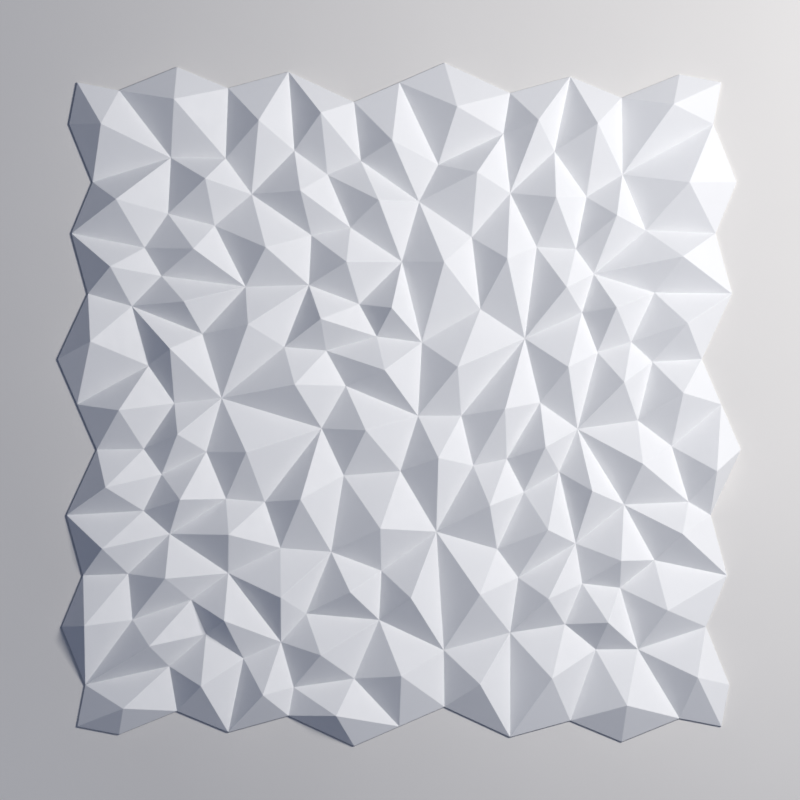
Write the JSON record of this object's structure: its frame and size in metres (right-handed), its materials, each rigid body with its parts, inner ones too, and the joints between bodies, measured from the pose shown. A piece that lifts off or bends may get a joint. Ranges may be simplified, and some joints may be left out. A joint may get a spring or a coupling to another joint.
{
  "type": "faceted wall panel",
  "caption": "Square decorative wall panel moulded in one piece, with a face of irregular low pyramids, zigzag edges that meet like panels, and a hollow back.",
  "frame": {"origin": "middle of the back, in the plane that lies on the floor or against a wall", "axes": "+Z out of the faceted face, +Y towards the panel's top edge, +X towards its right edge as the face is seen"},
  "size_m": [0.6366, 0.6366, 0.024],
  "materials": {
    "polymer": "smooth matte white, as moulded"
  },
  "bodies": {
    "root": {"wall_panel": "polymer"}
  },
  "joints": []
}
